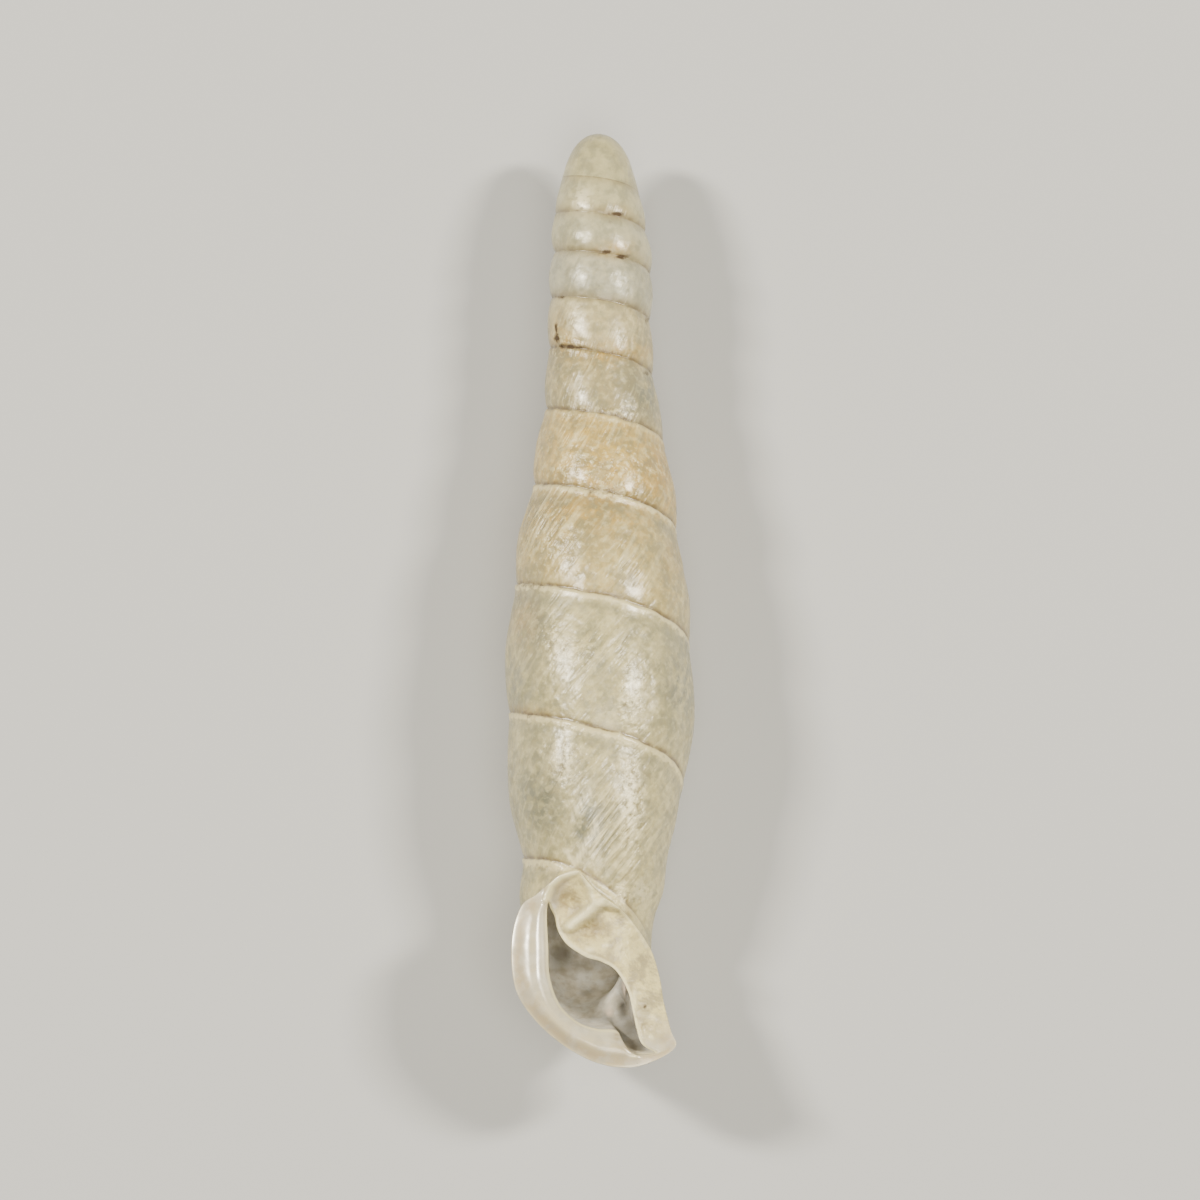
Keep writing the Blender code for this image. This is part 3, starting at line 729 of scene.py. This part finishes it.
# Pale cream: the first six are crumbs and a streak on the mouth's face, the next two pale spots
# above the mouth; the others, down the rows of highlights on the whorls and beside the mouth, are
# painted highlight on chalky places.
PALE_AND_HIGHLIGHT_PATCHES = (
    ((-0.32, 26.21), (0.12, 0.08), 1.0), ((0.19, 26.08), (0.1, 0.09), 1.0),
    ((1.09, 29.62), (0.12, 0.07), 1.0), ((1.64, 28.97), (0.09, 0.1), 1.0),
    ((0.7, 24.55), (0.14, 0.32), 0.9), ((1.11, 27.7), (0.08, 0.3), 0.9),
    ((-1.6, 23.6), (0.5, 0.1), 0.5), ((-0.3, 23.2), (0.35, 0.35), 0.5),
    ((0.96, 21.4), (0.36, 1.2), 1.0), ((1.12, 18.1), (0.3, 0.6), 0.7),
    ((-1.25, 16.6), (0.4, 0.4), 0.7), ((-1.15, 20.1), (0.35, 0.7), 0.6),
    ((-0.58, 2.15), (0.3, 0.35), 0.8), ((-0.8, 6.0), (0.3, 0.45), 0.6),
    ((1.29, 24.34), (0.3, 0.35), 0.5),
)
# Painted shade: near-black in the deep parts of the throat, under the S-shaped wall, in the slit
# under the left lip and in a crack
THROAT_PAINTED_SHADE_PATCHES = (
    ((0.74, 28.05), (0.32, 0.75), 1.0), ((0.95, 28.75), (0.65, 0.8), 0.82),
    ((1.25, 29.3), (0.5, 0.6), 0.84), ((0.82, 27.5), (0.3, 0.6), 1.0),
    ((0.25, 28.35), (0.45, 0.4), 0.66), ((-1.5, 25.6), (0.22, 0.7), 0.6),
    ((-1.2, 26.4), (0.45, 0.55), 0.82), ((-0.38, 27.6), (0.18, 0.11), 0.6),
    ((-0.6, 26.7), (0.6, 0.22), 0.45),
)
GRIME_SPOTS = (
    ((0.5, 2.58), (0.25, 0.09), 1.0), ((0.25, 3.82), (0.3, 0.09), 0.9),
    ((0.75, 3.96), (0.3, 0.09), 1.0), ((-1.42, 6.28), (0.06, 0.16), 0.9),
    ((-1.37, 6.56), (0.11, 0.22), 1.0), ((-1.26, 6.84), (0.15, 0.09), 0.9),
    ((-0.95, 6.87), (0.22, 0.09), 1.0), ((-0.66, 6.9), (0.2, 0.05), 0.8),
    ((-1.2, 5.28), (0.3, 0.07), 0.6),
    ((1.5, 6.02), (0.14, 0.1), 0.7), ((1.5, 7.72), (0.16, 0.1), 0.7),
    ((-2.2, 14.55), (0.7, 0.12), 0.6), ((1.45, 28.03), (0.09, 0.09), 0.7),
    ((-2.3, 18.7), (0.7, 0.12), 0.4), ((-0.1, 11.6), (0.6, 0.12), 0.5),
)
WHITE_FROM_HEIGHT = 0.1  # lower ridges are paler than the wall by their share of this
FOLD_LINE_HALF_WIDTH = 0.07
raised_lines = [(line, half_width, min(height / WHITE_FROM_HEIGHT, 1.0))
                for line, height, half_width, flatness in RAISED]
raised_share = np.maximum(marks(raised_lines) * on_face, scratched)
for title, values in (
        ("mouth", mouth_share), ("throat", in_throat), ("raised", raised_share),
        ("fold", marks([(COLUMELLAR_FOLD, FOLD_LINE_HALF_WIDTH, 1.0)]) * in_throat),
        ("crumbled", patches(CRUMBLED)), ("ribbed", patches(RIBBED_PATCHES)),
        ("clear", patches(CLEAR_PATCHES)), ("tan", patches(TAN_PATCHES)),
        ("hollow", patches(HOLLOW_PATCHES)), ("pale", patches(PALE_AND_HIGHLIGHT_PATCHES)),
        ("throat_painted_shade", patches(THROAT_PAINTED_SHADE_PATCHES) * in_throat), ("grime", patches(GRIME_SPOTS))):
    shell_mesh.attributes.new(title, "FLOAT", "POINT").data.foreach_set("value", values)


def add(kind, inputs=None, **settings):
    """The outputs of a new node, whose inputs are given as values or as other outputs."""
    made = tree.nodes.new("ShaderNode" + kind)
    for setting, value in settings.items():
        setattr(made, setting, value)
    for socket, value in (inputs or {}).items():
        if isinstance(value, bpy.types.NodeSocket):
            tree.links.new(value, made.inputs[socket])
        else:
            made.inputs[socket].default_value = value
    return made.outputs


def set_inputs(owner, node, values):
    for socket, value in values.items():
        owner.node_tree.nodes[node].inputs[socket].default_value = value


def maths(operation, *values):
    return add("Math", dict(enumerate(values)), operation=operation)[0]


def times(*values):
    """The product of all the values."""
    product = values[0]
    for value in values[1:]:
        product = maths("MULTIPLY", product, value)
    return product


def plus(first, second):
    return maths("ADD", first, second)


def larger(first, second):
    return maths("MAXIMUM", first, second)


def left_by(share):
    """What a share leaves of the whole."""
    return maths("SUBTRACT", 1.0, share)


def ramp(value, low, high):
    """0 up to low, 1 from high, with a smooth S between them."""
    return add("MapRange", {0: value, 1: low, 2: high}, interpolation_type="SMOOTHSTEP")[0]


def blend(share, under, over):
    """Colour under with this share of colour over."""
    colours = [(*c, 1.0) if isinstance(c, tuple) else c for c in (under, over)]
    return add("Mix", {0: share, 6: colours[0], 7: colours[1]}, data_type="RGBA")[2]


def layered(colour, layers):
    """The colour under a stack of layers: each is a colour and masks whose product is its
    share."""
    for over, *masks in layers:
        colour = blend(times(*masks), colour, over)
    return colour


def mixed(share, under, over):
    return add("Mix", {0: share, 2: under, 3: over}, data_type="FLOAT")[0]


def noise(at, scale, detail, roughness):
    return add("TexNoise", {"Vector": at, "Scale": scale, "Detail": detail,
                            "Roughness": roughness})[0]


def colours_along(value, low, high, stops):
    """A colour ramp over the value from low to high."""
    share = add("MapRange", {0: value, 1: low, 2: high})[0]
    made = tree.nodes.new("ShaderNodeValToRGB")
    tree.links.new(share, made.inputs[0])
    elements = made.color_ramp.elements
    while len(elements) < len(stops):
        elements.new(1.0)
    for element, (place, colour) in zip(elements, stops):
        element.position = (place - low) / (high - low)
        element.color = (*colour, 1.0)
    return made.outputs[0]


def uv(title):
    split = add("SeparateXYZ", {0: add("UVMap", uv_map=title)[0]})
    return split[0], split[1]


def attribute(title):
    return add("Attribute", attribute_name=title)["Fac"]


porcelain = bpy.data.materials.new("weathered_shell_lime")
porcelain.use_nodes = True
tree = porcelain.node_tree
surface = tree.nodes["Principled BSDF"]

place = add("VectorMath", {0: add("TexCoord")["Object"], "Scale": 1 / MM}, operation="SCALE")[0]
turn = uv("coil")[0]
below_suture, above_next = uv("whorl")
rim_round, rim_level = uv("rim")
mouth, throat_share, raised, fold, crumbled, ribbed, clear, tan, hollow, pale, throat_painted_shade, grime = (
    attribute(title) for title in ("mouth", "throat", "raised", "fold", "crumbled", "ribbed",
                                   "clear", "tan", "hollow", "pale", "throat_painted_shade", "grime"))

# Noise: lumps to a millimetre, how many finer sets of lumps, and how strong each next one is
CLOUDS, BLOTCHES, SPECKS = (0.8, 3.0, 0.5), (1.7, 4.0, 0.6), (3.6, 3.0, 0.5)
LUMPS, CRUMB_NOISE, GRAIN = (2.7, 1.5, 0.4), (5.2, 2.0, 0.5), (8.0, 2.0, 0.5)
STREAKS, LIP_LINES = (4.6, 2.0, 0.5), (5.0, 2.0, 0.5)
# Streaks run along the leaning growth lines; clouds, blotches and grain have no direction
TYPICAL_GIRTH = 16.3  # of a whorl, which turns the coil's turns into millimetres
STREAK_SHORTENING = 0.16  # of lengths along the streaks, which draws them out
leaning = plus(times(turn, TYPICAL_GIRTH), times(below_suture, WRINKLE_LEAN))
streak_place = add("CombineXYZ", {0: leaning, 1: times(below_suture, STREAK_SHORTENING),
                                  2: turn})[0]
streaks = noise(streak_place, *STREAKS)
clouds, blotches, specks = (noise(place, *kind) for kind in (CLOUDS, BLOTCHES, SPECKS))
lumps, pits, grain = (noise(place, *kind) for kind in (LUMPS, CRUMB_NOISE, GRAIN))

# Turns over which the young whorls' look ends, dirt begins, and the cord grows
YOUNG, DIRT_BEGINS, CORD_GROWS_WHITE = (4.0, 1.5), (-0.7, -0.3), (4.6, 6.2)
young = ramp(turn, *YOUNG)


def by_age(old, new):
    """One value on the old whorls and another on the young ones."""
    return mixed(young, old, new)


# The whorls' own colour under its wear; the cord has a ragged foot and a clear band below it
CORD_WHITE, CORD_RAGGEDNESS = (0.26, 0.14), 0.5  # in millimetres below the suture
CLEAR_BAND_START, CLEAR_BAND_END = (0.2, 0.45), (0.8, 0.45)
upper_suture = ramp(turn, NO_SUTURE_TURN, MOUTH_CORNER_TURN)
lower_suture = ramp(turn, NO_SUTURE_TURN - 1, MOUTH_CORNER_TURN - 1)
old_suture = times(ramp(turn, *CORD_GROWS_WHITE), upper_suture)
cord_edge = plus(below_suture, times(maths("SUBTRACT", specks, 0.5), CORD_RAGGEDNESS))
cord = times(ramp(cord_edge, *CORD_WHITE), old_suture)
weathered = by_age(1.0, 0.45)
chalky = larger(times(ramp(streaks, 0.5, 0.64), ramp(clouds, 0.35, 0.6)),
                ramp(blotches, 0.52, 0.64))
body = layered(colours_along(turn, -2.0, 10.0, WHORL_COLOURS), (
    (GREY_GREEN, clear, ramp(specks, 0.25, 0.6)),
    (TAN, tan, ramp(specks, 0.15, 0.6)),
    (GREY_GREEN, ramp(blotches, 0.54, 0.4), 0.4),
    (GREY_GREEN, ramp(specks, 0.54, 0.4), by_age(0.3, 0.1)),
    (CHALK, chalky, weathered, 0.24),
    # chalk on the raised spots of the crumb relief and brown in its low spots: wear, and also
    # painted light and shade of that relief
    (CHALK, ramp(pits, 0.52, 0.64), mixed(crumbled, 0.22, 0.85), weathered),
    (PIT_BROWN, ramp(pits, 0.46, 0.34), mixed(crumbled, 0.22, 0.55), weathered),
    (CHALK, ramp(streaks, 0.52, 0.62), ribbed, 0.5),
    (GREY_GREEN, ramp(streaks, 0.47, 0.38), ribbed, 0.4),
    (GREY_GREEN, ramp(cord_edge, *CLEAR_BAND_START), ramp(cord_edge, *CLEAR_BAND_END),
     old_suture, 0.3),
    (CHALK, cord, 0.75),
))

# Dirt sits in the suture, on the lower edge of the upper whorl, and in the stained spots;
# a wider olive band beside it is painted shade of the groove, with some dirt in it.
# Its reach above and below the suture is in millimetres, on the old and the young whorls
DIRT_ABOVE, DIRT_BELOW, DIRT_STRENGTH = (0.15, 0.2), 0.06, (0.85, 0.55)
SHADE_ABOVE, SHADE_BELOW, SHADE_BELOW_STRENGTH = (0.3, 0.5), (0.18, 0.34), (0.5, 0.9)
GRIME_RAGGEDNESS, GRIME_GRAIN, GRIME_EDGE = 1.3, 0.9, (1.35, 2.0)
in_suture = larger(times(ramp(above_next, by_age(*DIRT_ABOVE), 0.0), lower_suture),
                   times(ramp(below_suture, DIRT_BELOW, 0.0), upper_suture))
dirt = times(in_suture, ramp(turn, *DIRT_BEGINS), by_age(*DIRT_STRENGTH),
             mixed(ramp(specks, 0.35, 0.6), 0.35, 1.0))
# painted shade: an olive band on both sides of the suture, darkest near the groove, with some dirt
painted_suture_shade = larger(times(ramp(above_next, by_age(*SHADE_ABOVE), 0.0), lower_suture),
                       times(ramp(below_suture, by_age(*SHADE_BELOW), 0.0),
                             by_age(*SHADE_BELOW_STRENGTH), upper_suture))
grimy = ramp(plus(grime, plus(times(specks, GRIME_RAGGEDNESS),
                              times(grain, GRIME_GRAIN))), *GRIME_EDGE)
clean = left_by(grimy)
body = layered(body, (
    # painted shade of the groove beside the suture, with some dirt
    (SUTURE_SHADE_OLIVE, painted_suture_shade, ramp(turn, *DIRT_BEGINS), mixed(specks, 0.25, 0.75)),
    (SUTURE_DIRT, dirt),
    # pale chalk on raised marks and scratches, and painted highlight on the pale patches
    (CHALK_AND_PAINTED_HIGHLIGHT, larger(raised, times(pale, ramp(pits, 0.36, 0.54)))),
    (GRIME, grimy),
))

# The throat is mottled, with a light fold, and painted shade in the deep places where little light
# comes
throat = layered(blend(ramp(blotches, 0.4, 0.6), THROAT_BROWN, THROAT_GREY), (
    (HOLLOW_TAN, hollow, 0.6),
    (PIT_BROWN, ramp(specks, 0.62, 0.32), 0.35),
    # painted shade where little light reaches
    (THROAT_PAINTED_SHADE, throat_painted_shade),
    (FOLD_PINK, fold, 0.7),
))

# The lip is smooth cream with faint lines along it, the S-shaped wall is matt and mottled
LINES_ACROSS_LIP = 9.0
WALL_START, WALL_END = (0.6, 0.66), (0.03, 0.0)  # of the way round the rim
OPENING_EDGE_START, OPENING_EDGE_END = (0.9, 0.96), (1.015, 1.0)  # of the way across it
lines = noise(add("CombineXYZ", {0: rim_round, 1: times(rim_level, LINES_ACROSS_LIP)})[0],
              *LIP_LINES)
on_wall = larger(ramp(rim_round, *WALL_START), ramp(rim_round, *WALL_END))
wall = layered(blend(ramp(blotches, 0.38, 0.58), WALL_TAN, WALL_CREAM), (
    (WALL_TAN, ramp(pits, 0.48, 0.36), 0.35),
))
edge_line = times(ramp(rim_level, *OPENING_EDGE_START), ramp(rim_level, *OPENING_EDGE_END))
light_marks = larger(larger(raised, pale), times(edge_line, 0.8))
lip = layered(colours_along(rim_level, 0.0, 1.0, LIP_COLOURS), (
    (LIP_GREY, ramp(lines, 0.35, 0.7), 0.25),
    (LIP_PALE, ramp(blotches, 0.46, 0.62), 0.45),
    (LIP_GREY, ramp(specks, 0.52, 0.38), 0.35),
    (wall, on_wall),
    (HOLLOW_TAN, hollow, ramp(specks, 0.2, 0.5),
     mixed(ramp(pits, 0.58, 0.42), 0.65, 1.0)),
    (RIDGE_CREAM, light_marks),
    (throat, throat_share),
    (GRIME, grimy),
))
tree.links.new(blend(mouth, body, lip), surface.inputs["Base Color"])

# Gloss: broken on the whorls and whole on the lip, while the wall, throat and grime are matt
BODY_ROUGHNESS, CLOUD_ROUGHNESS, CHALK_ROUGHNESS = 0.3, 0.12, 0.06
LIP_ROUGHNESS, WALL_ROUGHNESS, GRIME_ROUGHNESS = 0.28, 0.46, 0.9
BODY_COAT, POLISHED_COAT, LIP_COAT = 0.65, 0.85, (0.55, 1.0)
roughness = plus(BODY_ROUGHNESS, plus(times(specks, CLOUD_ROUGHNESS),
                                      times(chalky, CHALK_ROUGHNESS)))
lip_roughness = mixed(on_wall, LIP_ROUGHNESS, WALL_ROUGHNESS)
tree.links.new(mixed(clean, GRIME_ROUGHNESS, mixed(mouth, roughness, lip_roughness)),
               surface.inputs["Roughness"])
glossy_lip = times(left_by(on_wall), left_by(throat_share),
                   mixed(ramp(specks, 0.36, 0.52), *LIP_COAT))
glossy_body = larger(times(ramp(specks, 0.34, 0.6), BODY_COAT),
                     times(pale, ramp(pits, 0.3, 0.48), POLISHED_COAT))
tree.links.new(times(mixed(mouth, glossy_body, glossy_lip), clean), surface.inputs["Coat Weight"])

# Fine relief, in millimetres: the mildest and the strongest of each kind
ALL_STREAKS, RIBS_IN_CLOUDS, STRONG_RIBS = 0.015, 0.04, 0.2
LUMP_RELIEF, CRUMB_RELIEF, GRAIN_RELIEF = (0.06, 0.045), (0.01, 0.11), 0.002
LINE_RELIEF, LIP_LUMPS, WALL_CRUMBS = 0.001, 0.01, 0.05
rib_height = plus(times(ramp(clouds, 0.4, 0.58), RIBS_IN_CLOUDS), times(ribbed, STRONG_RIBS))
height = plus(times(streaks, plus(rib_height, ALL_STREAKS), weathered),
              times(lumps, by_age(*LUMP_RELIEF)))
height = plus(height, times(pits, mixed(crumbled, *CRUMB_RELIEF)))
height = plus(height, times(grain, GRAIN_RELIEF))
lip_height = plus(times(lines, LINE_RELIEF),
                  mixed(on_wall, times(lumps, LIP_LUMPS), times(pits, WALL_CRUMBS)))
bump = add("Bump", {"Height": mixed(mouth, height, lip_height),
                    "Distance": MM, "Strength": 1.0})["Normal"]
tree.links.new(bump, surface.inputs["Normal"])
set_inputs(porcelain, "Principled BSDF", {
    "Subsurface Weight": 0.12, "Subsurface Radius": (1.0, 0.85, 0.6),
    "Subsurface Scale": 0.25 * MM, "IOR": 1.66, "Coat Roughness": 0.24})
shell_mesh.materials.clear()
shell_mesh.materials.append(porcelain)

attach(shell, "root")
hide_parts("shell")


# The table under it: a wide sheet of matt, pale paper
FLOOR_HALF_WIDTH = 0.6
FLOOR_COLOUR, FLOOR_ROUGHNESS = (0.5, 0.51, 0.53, 1.0), 0.9
floor_mesh = bpy.data.meshes.new("pale_floor")
floor_mesh.from_pydata([(FLOOR_HALF_WIDTH * x, FLOOR_HALF_WIDTH * y, 0)
                        for x, y in ((-1, -1), (1, -1), (1, 1), (-1, 1))], [], [(0, 1, 2, 3)])
floor = placed("pale_floor", floor_mesh)
paper = bpy.data.materials.new("matt_paper")
paper.use_nodes = True
set_inputs(paper, "Principled BSDF", {"Base Color": FLOOR_COLOUR, "Roughness": FLOOR_ROUGHNESS})
floor_mesh.materials.append(paper)


# Light: two small soft boxes to the left and right make the shell's two rows of highlights,
# a wide one in front of the mouth fills the throat, and a dim pale room fills the rest
LIGHT_DISTANCE = 0.3
WARM_WHITE = (1.0, 0.93, 0.77)
ROOM_WHITE, ROOM_STRENGTH = (1.0, 0.99, 0.97, 1.0), 0.08
SOFT_BOXES = (  # lean right and down in degrees, width, height, power in watts
    ("soft_box_left", -42, -15, 0.03, 0.06, 1.2),
    ("soft_box_right", 42, -11, 0.03, 0.06, 1.15),
    ("soft_box_front", 6, 20, 0.14, 0.14, 0.5),
)


def soft_box(name, leans_right, leans_down, width, height, power):
    """A rectangle of light in the direction given by its lean from overhead, in degrees."""
    data = bpy.data.lights.new(name, "AREA")
    data.shape = "RECTANGLE"
    data.size, data.size_y, data.energy = width, height, power
    data.color = WARM_WHITE
    light = placed(name, data)
    across, down = np.radians((leans_right, leans_down))
    away = np.array([np.tan(across), -np.tan(down), 1.0])
    away *= LIGHT_DISTANCE / np.linalg.norm(away)
    light.location = away
    light.rotation_mode = "QUATERNION"
    light.rotation_quaternion = light.location.to_track_quat("Z", "Y")


for box in SOFT_BOXES:
    soft_box(*box)
room = bpy.data.worlds.new("pale_room")
room.use_nodes = True
set_inputs(room, "Background", {"Color": ROOM_WHITE, "Strength": ROOM_STRENGTH})
bpy.context.scene.world = room


# The camera looks down at the mouth from a little beyond its end, so that the apex leans
# back; the square picture is as wide as 38.6 mm at the shell's axis
PICTURE_WIDTH = 38.585
PICTURE_MIDDLE = 15.016  # below the tip of the apex, as it looks
LENS, SENSOR = 1000.0, 36.0
NEAREST, FARTHEST = 0.01, 5.0
view = bpy.data.cameras.new("camera")
view.lens, view.sensor_width = LENS, SENSOR
view.clip_start, view.clip_end = NEAREST, FARTHEST
camera = placed("camera", view)
to_camera = np.array([0.0, -np.sin(LEAN), np.cos(LEAN)])
aim = in_place(0.0, along_axis(PICTURE_MIDDLE), 0.0)
camera.location = (aim + to_camera * PICTURE_WIDTH * LENS / SENSOR) * MM
camera.rotation_euler = (LEAN, 0.0, 0.0)
bpy.context.scene.camera = camera
